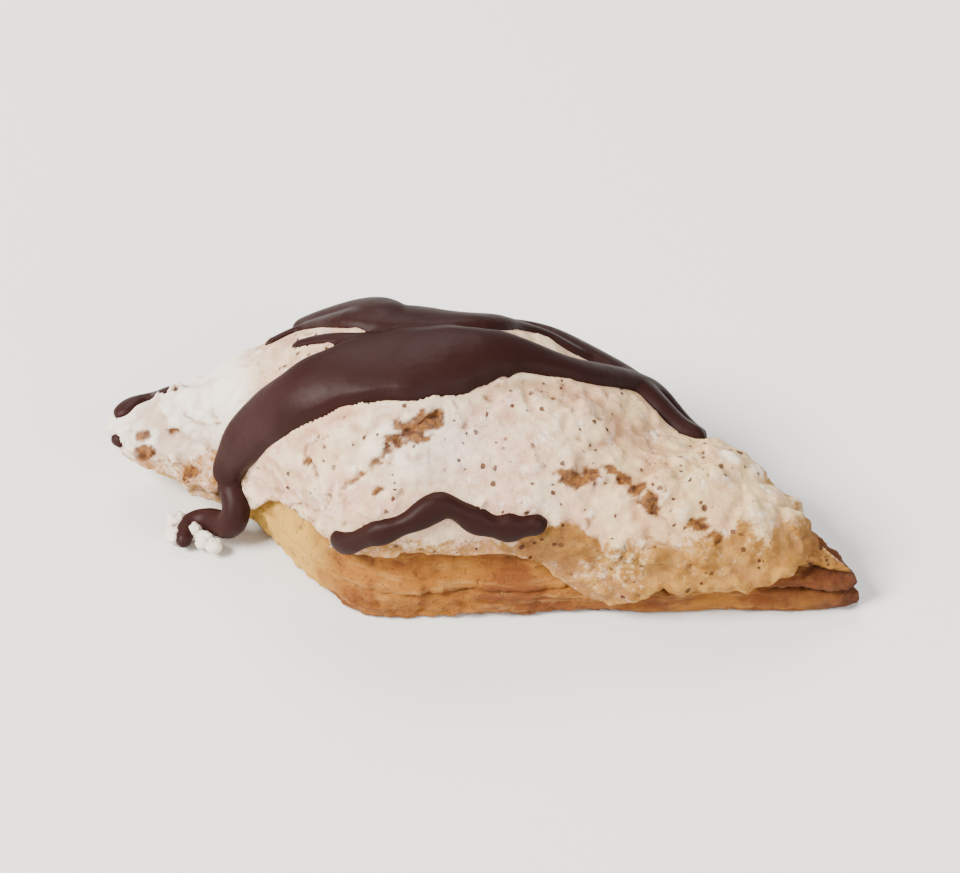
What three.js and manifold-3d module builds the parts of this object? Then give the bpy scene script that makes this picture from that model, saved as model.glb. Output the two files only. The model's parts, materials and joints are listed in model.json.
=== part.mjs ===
// A filled almond cookie. Two sheets of golden dough close over a filling that does
// not show, as a domed rhomboid cut on the bias from a long roll. A crust of baked
// almond icing lies over the dome, and thick dark drizzle is set on the icing.
// Millimetres, +Z up. The long side faces the front (-Y), and the cookie stands on
// z = 0 with the middle of its box as origin.

import * as THREE from "three";
import { mergeVertices } from "three/addons/utils/BufferGeometryUtils.js";
import Module from "manifold-3d";

const wasm = await Module();
wasm.setup();

// ---- driving dimensions ---------------------------------------------------------

const LENGTH = 76; // the dough, left tip to right tip
const DEPTH = 32.5; // the dough, front side to back corner
const SHEET = 3.7; // the bottom sheet
const GAP = 0.3; // air between one piece and the next
const LEDGE = 6.2; // top of the pressed edge, where the dome begins
const ICING = 1.7; // icing on the crown
const ICING_EDGE = 0.9; // icing at its lower rim
const AROUND = 108; // stations round the footprint
const DOME_ROWS = 9; // rows of the dough up the dome

// The footprint's corners, as shares of half the length and half the depth from the
// middle, anticlockwise from the left tip, and how far each is rounded.
const CORNERS = [
  { along: -1, across: 0.3, round: 4 },
  { along: -0.63, across: -0.12, round: 6 },
  { along: -0.35, across: -1, round: 6 },
  { along: 1, across: -0.92, round: 5 },
  { along: 0.3, across: 0.8, round: 9 },
  { along: -0.4, across: 1, round: 13 },
];

// The dome's ridge under the icing, from its left end to its right end.
const RIDGE = [
  { x: -26, y: 3.6, height: 14.5 },
  { x: -17, y: 2, height: 20.5 },
  { x: -6, y: 0.4, height: 22 },
  { x: 5, y: -3.4, height: 19.2 },
  { x: 16, y: -8, height: 13.2 },
  { x: 26, y: -10.2, height: 11 },
];

// How full the dome's section is on each side of the ridge: 1 is a straight slope, 2 a
// quarter of an ellipse. The long front side is the fuller one.
const FULLNESS = { front: 2.15, back: 1.55 };

// The ledge round the dome's foot, and what changes near a tip: `reach` is how far
// that is felt, `ledge` is added to the ledge's width, `slack` is taken from the
// fullness, and `press` is the share of the height that pressing takes away.
const SIDE_LEDGE = 0.9;
const LEFT_TIP = { x: -LENGTH / 2, y: 5, reach: 12, ledge: 1.6, slack: 0.6, press: 0.28 };
const RIGHT_TIP = { x: LENGTH / 2, y: -14.5, reach: 6.5, ledge: 4.6, slack: 0.6, press: 0.4 };

// The left tip curls up off the table, from `start` out to the tip.
const CURL = { start: -17, height: 3.4 };

// The edge of the dough from the table up: height, and how far it lies inside the
// footprint. The two sheets meet in the groove between the lists.
const BOTTOM_EDGE = [
  { z: 0, inset: 1.2 },
  { z: 0.5, inset: 0.35 },
  { z: 1.6, inset: 0 },
  { z: 3, inset: 0.15 },
  { z: SHEET, inset: 0.6 },
];
const TOP_EDGE = [
  { z: SHEET + GAP, inset: 0.7 },
  { z: 4.5, inset: 0.3 },
  { z: 5.2, inset: 0.2 },
  { z: 5.9, inset: 0.55 },
];

// The icing's lower rim: its usual height, its least, and each place where it runs
// further down. `at` and `wide` are shares of the way round from the left tip.
const RIM_HEIGHT = 9;
const RIM_LEAST = 1.2;
const RUNS = [
  { at: 0, wide: 0.05, drop: 5 },
  { at: 0.045, wide: 0.035, drop: 7.6 },
  { at: 0.074, wide: 0.03, drop: 7.2 },
  { at: 0.1, wide: 0.028, drop: 7 },
  { at: 0.352, wide: 0.03, drop: 7.4 },
  { at: 0.41, wide: 0.05, drop: 4.6 },
  { at: 0.49, wide: 0.06, drop: 2 },
  { at: 0.69, wide: 0.02, drop: 3.4 },
  { at: 0.79, wide: 0.016, drop: 5.5 },
  { at: 0.9, wide: 0.03, drop: 2.6 },
];

// Chopped almond that stands out of the icing, no two chips closer than the spacing.
const CHIPS = 40;
const CHIP_SIZE = { least: 0.7, most: 1.4 };
const CHIP_SPACING = 3.5;

// The drizzle, in lines laid as seen from the front or from the back at VIEW_TILT:
// x along the cookie, `up` from the foot of the near side, and the line's width.
const VIEW_TILT = THREE.MathUtils.degToRad(42);
const DRIZZLE_STEP = 2; // along a line, from one section to the next
const DRIZZLE_SINK = 0.4; // how deep a line is set into the icing
const swoosh = {
  side: "front",
  thick: 1.2,
  line: [
    { x: -26.7, up: 14.2, wide: 2.4 },
    { x: -25.4, up: 16.2, wide: 4.4 },
    { x: -23.6, up: 18.7, wide: 5.6 },
    { x: -21.6, up: 21, wide: 6 },
    { x: -18.2, up: 23.3, wide: 7 },
    { x: -13.5, up: 25.5, wide: 8.4 },
    { x: -7.3, up: 27.7, wide: 9.4 },
    { x: -4, up: 28.3, wide: 9.3 },
    { x: -0.1, up: 28.3, wide: 7.6 },
    { x: 3.1, up: 27.7, wide: 4.2 },
    { x: 5.6, up: 26.3, wide: 2.6 },
    { x: 11.4, up: 24.5, wide: 2.3 },
    { x: 17, up: 23.7, wide: 2 },
    { x: 19.9, up: 22.2, wide: 2.2 },
    { x: 22.9, up: 19.8, wide: 1.7 },
  ],
};
const branch = {
  side: "front",
  thick: 0.8,
  line: [
    { x: 2.8, up: 31, wide: 1.6 },
    { x: 5.7, up: 29.7, wide: 1.4 },
    { x: 8, up: 27.7, wide: 1.5 },
    { x: 10.2, up: 26.1, wide: 1.4 },
    { x: 13.6, up: 25.5, wide: 1.2 },
    { x: 17, up: 24.6, wide: 1.2 },
  ],
};
const highStrand = {
  side: "front",
  thick: 0.7,
  line: [
    { x: -23.9, up: 28.7, wide: 0.9 },
    { x: -22.3, up: 29.5, wide: 1.1 },
    { x: -19.7, up: 30.8, wide: 1.1 },
    { x: -12.5, up: 31.5, wide: 1.4 },
  ],
};
const lowStrand = {
  side: "front",
  thick: 0.7,
  line: [
    { x: -19.2, up: 30.1, wide: 0.9 },
    { x: -17.1, up: 29.4, wide: 1 },
    { x: -14.5, up: 30.1, wide: 1.2 },
    { x: -12, up: 30.6, wide: 1.4 },
  ],
};
const squiggle = {
  side: "front",
  thick: 1.2,
  line: [
    { x: -16.3, up: 6.7, wide: 1.8 },
    { x: -14.5, up: 7.8, wide: 2 },
    { x: -11.4, up: 8.9, wide: 2 },
    { x: -7.8, up: 9.8, wide: 1.9 },
    { x: -5.5, up: 11.1, wide: 2.3 },
    { x: -4, up: 12, wide: 2.6 },
    { x: -1.9, up: 10.5, wide: 2.3 },
    { x: 1, up: 9.9, wide: 2.5 },
    { x: 2.8, up: 9.7, wide: 2.6 },
    { x: 4.3, up: 10, wide: 1.5 },
    { x: 6.1, up: 10.2, wide: 1.2 },
  ],
};
const tipDrop = {
  side: "front",
  thick: 0.8,
  line: [
    { x: -33.2, up: 24.6, wide: 1.1 },
    { x: -35.6, up: 23, wide: 1.3 },
    { x: -37.4, up: 21.2, wide: 1.3 },
    { x: -38.1, up: 19.4, wide: 1.3 },
    { x: -37.9, up: 17.8, wide: 1.4 },
  ],
};
const backBand = {
  side: "back",
  thick: 1.2,
  line: [
    { x: -9, up: 26.5, wide: 6.5 },
    { x: -12, up: 21.5, wide: 5.2 },
    { x: -16.5, up: 17, wide: 4.2 },
    { x: -19.5, up: 13.5, wide: 3 },
  ],
};
const backStripe = {
  side: "back",
  thick: 1,
  line: [
    { x: -2, up: 12, wide: 2.3 },
    { x: 4, up: 14, wide: 3.4 },
    { x: 11, up: 17, wide: 4.2 },
    { x: 17, up: 19, wide: 3.2 },
    { x: 22.3, up: 20.6, wide: 2.2 },
  ],
};
const backStrand = {
  side: "back",
  thick: 0.8,
  line: [
    { x: -12, up: 10, wide: 1.5 },
    { x: -4, up: 10, wide: 1.6 },
    { x: 4, up: 9.5, wide: 1.7 },
    { x: 12, up: 11, wide: 1.5 },
  ],
};

// From the swoosh's foot a drip hangs clear of the dough and curls to the left, a
// little above the table. Crumbs of icing are stuck to it, each to the one before.
const DRIP = [
  { x: -26.7, y: -1.1, z: 7.2, wide: 2.4 },
  { x: -25.6, y: -4, z: 4.8, wide: 3 },
  { x: -26.4, y: -4.6, z: 2.9, wide: 3 },
  { x: -28.5, y: -2.8, z: 2, wide: 2.5 },
  { x: -30.5, y: -3, z: 1.5, wide: 2.2 },
  { x: -31.2, y: -6.1, z: 1.2, wide: 1.6 },
];
const DRIP_CRUMBS = [
  { x: -31.8, y: -2.5, z: 1.3, size: 1 },
  { x: -32.1, y: -4.4, z: 1.1, size: 0.8 },
  { x: -29.9, y: -3.8, z: 1.2, size: 0.9 },
  { x: -28.9, y: -5.3, z: 1.2, size: 0.9 },
  { x: -27.9, y: -6, z: 1.1, size: 0.8 },
];
const DRIZZLE = [
  swoosh,
  branch,
  highStrand,
  lowStrand,
  squiggle,
  tipDrop,
  backBand,
  backStripe,
  backStrand,
];

// ---- the sections of the cookie -------------------------------------------------

// Points evenly spaced round the uneven rhomboid, exactly LENGTH by DEPTH overall.
function footprint() {
  const place = (c) => new THREE.Vector2((c.along * LENGTH) / 2, (c.across * DEPTH) / 2);
  const towards = (here, there, far) => there.sub(here).setLength(far).add(here);
  const shape = new THREE.Shape();
  CORNERS.forEach((corner, i) => {
    const here = place(corner);
    const before = towards(here, place(CORNERS.at(i - 1)), corner.round);
    const after = towards(here, place(CORNERS[(i + 1) % CORNERS.length]), corner.round);
    if (i === 0) shape.moveTo(before.x, before.y);
    else shape.lineTo(before.x, before.y);
    shape.quadraticCurveTo(here.x, here.y, after.x, after.y);
  });
  shape.closePath();
  const points = shape.getSpacedPoints(AROUND).slice(0, AROUND);
  points.forEach((point, i) => {
    const turn = (i / AROUND) * 2 * Math.PI;
    const waver = 0.3 * Math.sin(5 * turn + 1) + 0.22 * Math.sin(13 * turn + 2.3);
    point.setLength(point.length() + waver);
  });
  const box = new THREE.Box2().setFromPoints(points);
  const size = box.getSize(new THREE.Vector2());
  const middle = box.getCenter(new THREE.Vector2());
  const scale = new THREE.Vector2(LENGTH / size.x, DEPTH / size.y);
  return points.map((point) => point.sub(middle).multiply(scale));
}

const ridge = new THREE.CatmullRomCurve3(
  RIDGE.map((r) => new THREE.Vector3(r.x, r.y, r.height)),
);
const RIDGE_KNOTS = 12; // stretches of the ridge, where the two sides' faces meet
const RIDGE_POINTS = 20 * RIDGE_KNOTS;
const ridgePoints = ridge.getPoints(RIDGE_POINTS);

// The point of the ridge nearest to a place, seen from above.
function nearestCrest(x, y) {
  const away = (p) => Math.hypot(p.x - x, p.y - y);
  return ridgePoints.reduce((best, p) => (away(p) < away(best) ? p : best));
}

// The knot of the ridge nearest to one of its points.
function knotOf(crest) {
  const stretch = RIDGE_POINTS / RIDGE_KNOTS;
  return ridgePoints[Math.round(ridgePoints.indexOf(crest) / stretch) * stretch];
}

// From 0, far from a tip, to 1 at it.
function nearness(point, tip) {
  return Math.exp(-((Math.hypot(point.x - tip.x, point.y - tip.y) / tip.reach) ** 2));
}

// Presses a finished point down near the tips, and curls the left tip up.
function settle(point) {
  const left = LEFT_TIP.press * nearness(point, LEFT_TIP);
  const right = RIGHT_TIP.press * nearness(point, RIGHT_TIP);
  const out = THREE.MathUtils.smoothstep(CURL.start - point.x, 0, CURL.start + LENGTH / 2);
  return new THREE.Vector3(point.x, point.y, point.z * (1 - left - right) + CURL.height * out);
}

// One upright section for each station of the footprint, from its rim to its crest.
const sections = footprint().map((rim, i) => {
  const crest = nearestCrest(rim.x, rim.y);
  const inward = new THREE.Vector2(crest.x - rim.x, crest.y - rim.y);
  const left = nearness(rim, LEFT_TIP);
  const right = nearness(rim, RIGHT_TIP);
  const behind = THREE.MathUtils.smoothstep(-inward.y / inward.length(), -0.4, 0.4);
  const full = THREE.MathUtils.lerp(FULLNESS.front, FULLNESS.back, behind);
  return {
    rim,
    crest,
    share: i / AROUND,
    reach: inward.length(),
    inward: inward.normalize(),
    ledge: SIDE_LEDGE + left * LEFT_TIP.ledge + right * RIGHT_TIP.ledge,
    fullness: full - left * LEFT_TIP.slack - right * RIGHT_TIP.slack,
  };
});

// The slow unevenness of a roll filled by hand.
function sag(x, y) {
  const across = Math.sin(0.21 * x + 1.3) * Math.cos(0.3 * y - 0.4);
  const slant = Math.sin(0.43 * x - 0.35 * y + 2.1);
  return 0.55 * across + 0.4 * slant;
}

function placeAt(section, inset, z) {
  const x = section.rim.x + section.inward.x * inset;
  const y = section.rim.y + section.inward.y * inset;
  return new THREE.Vector3(x, y, z);
}

// A point of the dome, `climb` radians up its quarter turn and `lift` clear of it.
function domeAt(section, climb, lift = 0) {
  const power = 2 / section.fullness;
  const level = Math.sin(climb) ** power;
  const foot = section.ledge - lift;
  const inset = foot + (section.reach - foot) * (1 - Math.cos(climb) ** power);
  const point = placeAt(section, inset, LEDGE + lift + (section.crest.z - LEDGE) * level);
  point.z += sag(point.x, point.y) * level;
  return point;
}

// The knot of each section's crest, at a height of its own or `lift` above the dough.
const flatRing = (z) => sections.map(({ crest }) => knotOf(crest).clone().setZ(z));
const crestRing = (lift) =>
  sections.map(({ crest }) => {
    const { x, y, z } = knotOf(crest);
    return new THREE.Vector3(x, y, z + sag(x, y) + lift);
  });

// The way out of the cookie at a point, as if from an axis under the ridge.
function facingAt(point) {
  const crest = nearestCrest(point.x, point.y);
  return new THREE.Vector3(point.x - crest.x, point.y - crest.y, point.z - 0.8 * LEDGE).normalize();
}

// ---- closed solids --------------------------------------------------------------

// The index of the walls between rings of `count` points that follow each other.
function wallIndex(rings, count) {
  const index = [];
  for (let r = 0; r + 1 < rings; r++) {
    for (let i = 0; i < count; i++) {
      const a = r * count + i;
      const b = r * count + ((i + 1) % count);
      index.push(a, b, b + count, a, b + count, a + count);
    }
  }
  return index;
}

// A geometry with each shared point held once, and without the faces that have
// shrunk to a line.
function indexedGeometry(points, index) {
  const loose = new THREE.BufferGeometry();
  loose.setAttribute("position", new THREE.Float32BufferAttribute(points.flatMap((p) => [...p]), 3));
  loose.setIndex(index);
  const geometry = mergeVertices(loose, 1e-4);
  const corners = geometry.index.array;
  const kept = [];
  for (let i = 0; i < corners.length; i += 3) {
    const [a, b, c] = corners.subarray(i, i + 3);
    if (a !== b && b !== c && c !== a) kept.push(a, b, c);
  }
  return geometry.setIndex(kept);
}

// A closed surface up a list of rings, the first and last of which are crest rings,
// so that the surface closes on the line of the ridge.
function closedLoft(rings) {
  return indexedGeometry(rings.flat().map(settle), wallIndex(rings.length, AROUND));
}

// A closed tube along a list of sections, each end closed by a fan.
function closedTube(rings) {
  const count = rings[0].length;
  const end = (rings.length - 1) * count;
  const fans = [];
  for (let k = 1; k + 1 < count; k++) fans.push(0, k + 1, k, end, end + k, end + k + 1);
  return indexedGeometry(rings.flat(), [...wallIndex(rings.length, count), ...fans]);
}

function solidFrom(geometry) {
  const vertProperties = geometry.getAttribute("position").array;
  const triVerts = new Uint32Array(geometry.index.array);
  return new wasm.Manifold(new wasm.Mesh({ numProp: 3, vertProperties, triVerts }));
}

function geometryFrom(solid) {
  const mesh = solid.getMesh();
  const geometry = new THREE.BufferGeometry();
  geometry.setAttribute("position", new THREE.BufferAttribute(mesh.vertProperties, mesh.numProp));
  geometry.setIndex(new THREE.BufferAttribute(mesh.triVerts, 1));
  return geometry;
}

// ---- dough ----------------------------------------------------------------------

// A ring at one height of the pressed edge. The edge is torn and flaky, so it moves
// in and out a little, and not alike at any two heights.
function edgeRing({ z, inset }) {
  return sections.map((section) => {
    const turn = section.share * 2 * Math.PI;
    const flake = 0.22 * Math.sin(23 * turn + 3 * z) * Math.sin(7 * turn - 2 * z);
    return placeAt(section, Math.max(0, inset + flake), z);
  });
}

const climbs = Array.from(
  { length: DOME_ROWS },
  (_, k) => ((k / (DOME_ROWS - 0.6)) * Math.PI) / 2,
);
const domeRings = climbs.map((climb) => sections.map((section) => domeAt(section, climb)));
const bottomSheet = closedLoft([flatRing(0), ...BOTTOM_EDGE.map(edgeRing), flatRing(SHEET)]);
const filledTop = closedLoft([
  flatRing(SHEET + GAP),
  ...TOP_EDGE.map(edgeRing),
  ...domeRings,
  crestRing(0),
]);

// ---- icing ----------------------------------------------------------------------

// The way up the outside of a section, in three stretches: from 0 up the pressed
// edge, from LEDGE_WAY over the ledge, and from DOME_WAY up the dome.
const LEDGE_WAY = 1;
const DOME_WAY = 2;
const CREST_WAY = DOME_WAY + climbs.at(-1) / (Math.PI / 2);
const LEDGE_SHARE = 0.6; // the part of the rim's height in which it crosses the ledge
const CLEARANCE = 1.6 * GAP; // the icing's inner side over the dough

function overDough(section, way, lift) {
  if (way < LEDGE_WAY) return placeAt(section, -lift, way * LEDGE);
  if (way > DOME_WAY) return domeAt(section, ((way - DOME_WAY) * Math.PI) / 2, lift);
  const over = way - LEDGE_WAY;
  return placeAt(section, section.ledge * over - lift, LEDGE + lift * over);
}

// The height of the icing's lower rim: its usual height, in waves, less the runs.
function rimHeight(share) {
  const turn = share * 2 * Math.PI;
  const wave = 0.45 * Math.sin(9 * turn + 0.6) + 0.4 * Math.sin(17 * turn + 2);
  const drops = RUNS.map((run) => {
    const away = Math.abs(share - run.at);
    return run.drop * Math.exp(-((Math.min(away, 1 - away) / run.wide) ** 2));
  });
  return Math.max(RIM_LEAST, RIM_HEIGHT + wave - Math.max(...drops));
}

// The way at which the icing of a section begins.
function rimWay(section) {
  const height = rimHeight(section.share);
  if (height < LEDGE) return height / LEDGE;
  if (height < LEDGE + LEDGE_SHARE) return LEDGE_WAY + (height - LEDGE) / LEDGE_SHARE;
  const level = (height - LEDGE - LEDGE_SHARE) / (section.crest.z - LEDGE);
  return DOME_WAY + Math.asin(level ** (section.fullness / 2)) / (Math.PI / 2);
}

// Lumps of the baked icing, as an addition to its thickness.
function lump(p) {
  const coarse = Math.sin(0.9 * p.x + 0.4 * p.y) * Math.sin(0.8 * p.y - 0.5 * p.z + 1);
  const fine = Math.sin(1.9 * p.x - 1.1 * p.y + 0.7) * Math.sin(1.6 * p.y + 1.3 * p.z);
  return 0.3 * coarse + 0.25 * fine;
}

// Points up a section from the icing's rim to the crest, at the given shares of that
// length: on its inner side, or on its lumpy outer side.
function coat(section, shares, outer) {
  const from = rimWay(section);
  const points = Array.from({ length: 33 }, (_, k) => {
    const way = THREE.MathUtils.lerp(from, CREST_WAY, k / 32);
    const inner = overDough(section, way, CLEARANCE);
    if (!outer) return inner;
    const thick = THREE.MathUtils.lerp(ICING_EDGE, ICING, Math.min(1, k / 8));
    return overDough(section, way, CLEARANCE + thick + lump(inner));
  });
  const curve = new THREE.CatmullRomCurve3(points);
  return shares.map((share) => curve.getPointAt(share));
}

const INNER_ROWS = [1, 0.86, 0.72, 0.58, 0.44, 0.3, 0.2, 0.12, 0.05, 0];
const OUTER_ROWS = [0, 0.045, 0.11, 0.2, 0.3, 0.41, 0.52, 0.63, 0.74, 0.85, 0.93, 1];
function coatRings(rows, outer) {
  const ways = sections.map((section) => coat(section, rows, outer));
  return rows.map((_, r) => ways.map((points) => points[r]));
}
const crust = closedLoft([
  crestRing(CLEARANCE),
  ...coatRings(INNER_ROWS, false),
  ...coatRings(OUTER_ROWS, true),
  crestRing(CLEARANCE + ICING),
]);

// A seeded draw of numbers from 0 to 1, the same on every run.
function drawFrom(seed) {
  let state = seed;
  return () => {
    state = (state * 1664525 + 1013904223) % 4294967296;
    return state / 4294967296;
  };
}

// Places for the chips, drawn all over the crust between its rim and its crest.
function chipPlaces(draw) {
  const places = [];
  while (places.length < CHIPS) {
    const section = sections[Math.floor(draw() * AROUND)];
    const [raw] = coat(section, [THREE.MathUtils.lerp(0.06, 0.9, draw())], true);
    const place = settle(raw);
    if (places.every((other) => other.distanceTo(place) > CHIP_SPACING)) places.push(place);
  }
  return places;
}

// An uneven grain of twenty sides, its flat side square to the way it faces.
function grainOf(size, facing, draw) {
  const ball = new THREE.IcosahedronGeometry(size, 0);
  ball.deleteAttribute("normal");
  ball.deleteAttribute("uv");
  const grain = mergeVertices(ball, 1e-4);
  grain.scale(1 + 0.5 * draw(), 0.75 + 0.3 * draw(), 0.62);
  grain.rotateZ(draw() * Math.PI);
  const up = new THREE.Vector3(0, 0, 1);
  return grain.applyQuaternion(new THREE.Quaternion().setFromUnitVectors(up, facing));
}

function almondChips() {
  const draw = drawFrom(31);
  return chipPlaces(draw).map((place) => {
    const facing = facingAt(place);
    const size = THREE.MathUtils.lerp(CHIP_SIZE.least, CHIP_SIZE.most, draw() ** 2);
    return grainOf(size, facing, draw).translate(...place.addScaledVector(facing, 0.15 * size));
  });
}

// ---- drizzle --------------------------------------------------------------------

const crustMesh = new THREE.Mesh(crust, new THREE.MeshBasicMaterial());
const caster = new THREE.Raycaster();

// The first point of the crust that a line from a place meets.
function touch(from, direction) {
  caster.set(from, direction);
  return caster.intersectObject(crustMesh)[0]?.point;
}

// The point of the crust seen at `x`, `up` in the tilted view from one side. A point
// just off the crust in that view moves up or down to it.
function seenAt({ x, up }, side) {
  const facing = side === "front" ? -1 : 1;
  const toEye = new THREE.Vector3(0, facing * Math.cos(VIEW_TILT), Math.sin(VIEW_TILT));
  const upright = new THREE.Vector3(0, -facing * Math.sin(VIEW_TILT), Math.cos(VIEW_TILT));
  const seen = (level) => {
    const from = new THREE.Vector3(x, (facing * DEPTH) / 2, 0);
    from.addScaledVector(upright, level).addScaledVector(toEye, LENGTH);
    return touch(from, toEye.clone().negate());
  };
  for (let off = 0; off < DEPTH; off += 0.2) {
    const point = seen(up - off) ?? seen(up + off);
    if (point) return point;
  }
  throw new Error(`no icing under the drizzle at x ${x}`);
}

// One section across a line: its round back from side to side, then its sunk foot.
const BACK = [-1, -0.62, 0, 0.62, 1];
const FOOT = [0.7, 0, -0.7];
function drizzleSection(middle, along, half, thick) {
  const facing = facingAt(middle);
  const across = new THREE.Vector3().crossVectors(along, facing).normalize();
  const onCrust = (share) => {
    const over = middle.clone().addScaledVector(across, share * half);
    const from = over.clone().addScaledVector(facing, 5);
    return touch(from, facing.clone().negate()) ?? over;
  };
  const height = (share) => thick * Math.sqrt(1 - share ** 2) - 0.1;
  return [
    ...BACK.map((share) => onCrust(share).addScaledVector(facing, height(share))),
    ...FOOT.map((share) => onCrust(share).addScaledVector(facing, -DRIZZLE_SINK)),
  ];
}

// The widths of a line's stations as a smooth curve, read as its x.
function widthCurve(line) {
  return new THREE.CatmullRomCurve3(line.map(({ wide }) => new THREE.Vector3(wide, 0, 0)));
}

// A line of drizzle laid over the crust, round at both ends.
function drizzleLine({ side, thick, line }) {
  const path = new THREE.CatmullRomCurve3(line.map((station) => seenAt(station, side)));
  const widths = widthCurve(line);
  const length = path.getLength();
  const steps = Math.round(length / DRIZZLE_STEP);
  const rings = Array.from({ length: steps + 1 }, (_, k) => {
    const share = k / steps;
    const half = widths.getPoint(path.getUtoTmapping(share)).x / 2;
    const toEnd = Math.min(1, (Math.min(share, 1 - share) * length) / half);
    const rounding = Math.max(0.4, Math.sqrt(1 - (1 - toEnd) ** 2));
    const middle = path.getPointAt(share);
    return drizzleSection(middle, path.getTangentAt(share), half * rounding, thick * rounding);
  });
  return closedTube(rings);
}

// The drip as a round tube that narrows to half its width at both ends.
const DRIP_STEPS = 12;
const DRIP_SIDES = 8;
function dripTube() {
  const path = new THREE.CatmullRomCurve3(DRIP.map(({ x, y, z }) => new THREE.Vector3(x, y, z)));
  const widths = widthCurve(DRIP);
  const { normals, binormals } = path.computeFrenetFrames(DRIP_STEPS);
  const rings = Array.from({ length: DRIP_STEPS + 1 }, (_, k) => {
    const share = k / DRIP_STEPS;
    const toEnd = Math.min(1, 6 * Math.min(share, 1 - share));
    const half = (widths.getPoint(path.getUtoTmapping(share)).x / 2) * (0.5 + 0.5 * toEnd);
    return Array.from({ length: DRIP_SIDES }, (_, i) => {
      const turn = (i / DRIP_SIDES) * 2 * Math.PI;
      const point = path.getPointAt(share).addScaledVector(normals[k], half * Math.cos(turn));
      return point.addScaledVector(binormals[k], half * Math.sin(turn));
    });
  });
  return closedTube(rings);
}

function dripCrumbs() {
  const draw = drawFrom(5);
  const up = new THREE.Vector3(0, 0, 1);
  return DRIP_CRUMBS.map(({ x, y, z, size }) => grainOf(size, up, draw).translate(x, y, z));
}

// The icing with its almond and its drizzle, as the one body that baking makes of it.
// Faces finer than can matter are evened out. The largest shell alone is kept, which
// fills what the joining seals and drops scraps.
const FINEST = 0.02;
const drizzle = [...DRIZZLE.map(drizzleLine), dripTube(), ...dripCrumbs()];
const toppings = [...almondChips(), ...drizzle].map(solidFrom);
const joined = toppings.reduce((whole, topping) => whole.add(topping), solidFrom(crust));
const [icing] = joined.simplify(FINEST).decompose().sort((a, b) => b.volume() - a.volume());

// ---- the cookie -----------------------------------------------------------------

function piece(name, geometry, color, roughness) {
  const mesh = new THREE.Mesh(
    geometry,
    new THREE.MeshStandardMaterial({ color, roughness, metalness: 0 }),
  );
  mesh.name = name;
  return mesh;
}

const cookie = new THREE.Group();
cookie.add(
  piece("bottom_sheet", bottomSheet, 0xd9a055, 0.85),
  piece("filled_top", filledTop, 0xe0ab62, 0.85),
  piece("icing", geometryFrom(icing), 0xe6dac6, 0.8),
);
const middle = new THREE.Box3().setFromObject(cookie).getCenter(new THREE.Vector3());
cookie.position.set(-middle.x, -middle.y, 0);

export default cookie;
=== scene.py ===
import json
import math

import bmesh
import bpy
import numpy as np
from mathutils import Matrix, Vector, noise
from mathutils.bvhtree import BVHTree
from mathutils.kdtree import KDTree

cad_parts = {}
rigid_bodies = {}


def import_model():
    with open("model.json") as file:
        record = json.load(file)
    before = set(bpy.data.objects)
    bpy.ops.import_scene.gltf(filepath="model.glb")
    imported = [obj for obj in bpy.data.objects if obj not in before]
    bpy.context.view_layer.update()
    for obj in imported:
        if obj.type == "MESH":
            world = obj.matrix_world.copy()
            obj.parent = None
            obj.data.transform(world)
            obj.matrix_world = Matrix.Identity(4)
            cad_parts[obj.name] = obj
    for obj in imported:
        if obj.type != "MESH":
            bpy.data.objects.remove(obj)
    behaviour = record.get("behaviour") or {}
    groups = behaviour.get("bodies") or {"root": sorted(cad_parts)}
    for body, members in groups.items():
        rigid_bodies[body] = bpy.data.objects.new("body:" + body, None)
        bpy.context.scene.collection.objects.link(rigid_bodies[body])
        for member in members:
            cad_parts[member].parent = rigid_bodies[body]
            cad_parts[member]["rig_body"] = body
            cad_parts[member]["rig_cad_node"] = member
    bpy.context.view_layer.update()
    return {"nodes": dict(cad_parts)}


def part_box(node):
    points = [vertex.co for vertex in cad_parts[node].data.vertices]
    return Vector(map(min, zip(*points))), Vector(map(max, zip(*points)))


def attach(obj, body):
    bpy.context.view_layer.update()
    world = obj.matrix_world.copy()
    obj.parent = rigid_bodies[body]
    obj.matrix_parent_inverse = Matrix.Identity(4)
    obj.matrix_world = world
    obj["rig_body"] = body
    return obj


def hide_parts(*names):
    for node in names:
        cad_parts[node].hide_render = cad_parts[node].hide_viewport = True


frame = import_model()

# ---- The two sheets of dough -----------------------------------------------------
# A flat sheet of short almond dough and a second one closed over the filling, pressed
# together round the edge and cut from a long roll. Baked golden, with painted shade darkening
# its hollows, a right tip made browner partly by baking and partly by painted shadow, and
# pale at the left end.

MM = 0.001
DOUGH_VOXEL = 0.36 * MM  # the size of the faces that its crumb is made of
EDGE_SWELL = 0.4  # mm, the slow unevenness of the edge
EDGE_LUMP = 0.16  # mm, the short lumps in it
FLAKE_DEPTH = 0.24  # mm, the layers torn open round the edge
TEAR_DEPTH = 0.16  # mm, the short tears between them
CRUMB_DEPTH = 0.24  # mm, the short crumb of the surface
PORE_DEPTH = 0.13  # mm, the finer crumb in it
SEAM_HEIGHT = 3.85  # mm, where the two sheets meet
SEAM_RISE = 3.4  # mm that the seam is higher at the left tip, which is bent up
SEAM_RISES = (17, 38)  # mm left of the middle, from where and up to where it rises
SEAM_OPENS = 32  # mm right of the middle: the seam is shut before it and open at the tip
SEAM_REACH = (0.3, 1.7)  # mm from the seam, where its closing starts to fade and ends
SEAM_FILL = 0.8  # mm that pressing swells the edge by at the seam, where it closed it
SEAM_SHUT = 0.34  # mm that each of the seam's lips moves to the other, where it closed
noise.seed_set(3)  # noise_vector would otherwise start from the time of day


def deselect_all():
    if bpy.context.object and bpy.context.object.mode != "OBJECT":
        bpy.ops.object.mode_set(mode="OBJECT")
    bpy.ops.object.select_all(action="DESELECT")


def pick_only(piece):
    deselect_all()
    piece.select_set(True)
    bpy.context.view_layer.objects.active = piece


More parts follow.
